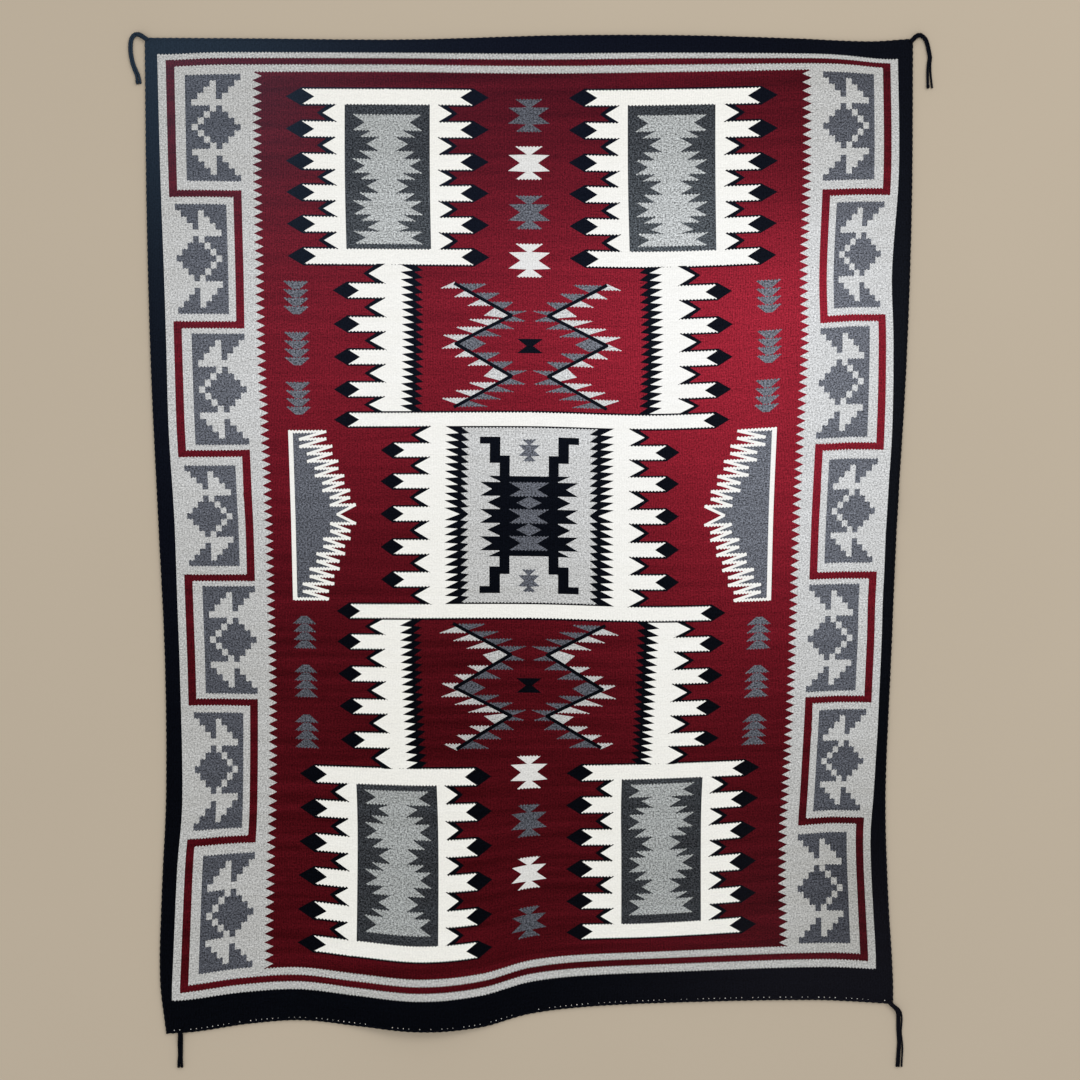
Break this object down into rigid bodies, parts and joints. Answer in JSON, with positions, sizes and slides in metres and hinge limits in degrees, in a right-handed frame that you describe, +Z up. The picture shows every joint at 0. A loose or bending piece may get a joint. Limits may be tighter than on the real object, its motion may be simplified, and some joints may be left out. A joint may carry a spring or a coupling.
{
  "type": "navajo rug",
  "caption": "Flat tapestry-woven wool rug in red, black, white and greys, with twisted edge cords and corner tassels, lying on a floor.",
  "frame": {"origin": "on the floor under the middle of the rug with its tassels", "axes": "+Y along the rug towards its top edge as seen from above, +X across the rug to the right, +Z up out of its face"},
  "size_m": [1.32, 1.6977, 0.0169],
  "materials": {
    "panel_wool": "matt ribbed wool, red with black, white and grey",
    "end_cord_wool": "matt twisted wool",
    "selvedge_wool": "matt twisted wool",
    "tassel_wool": "matt twisted wool"
  },
  "bodies": {
    "root": {"rug_panel": "panel_wool", "end_cord_top": "end_cord_wool", "end_cord_bottom": "end_cord_wool", "selvedge_cord_left": "selvedge_wool", "selvedge_cord_right": "selvedge_wool", "tassel_top_left": "tassel_wool", "tassel_top_right": "tassel_wool", "tassel_bottom_left": "tassel_wool", "tassel_bottom_right": "tassel_wool"}
  },
  "joints": []
}
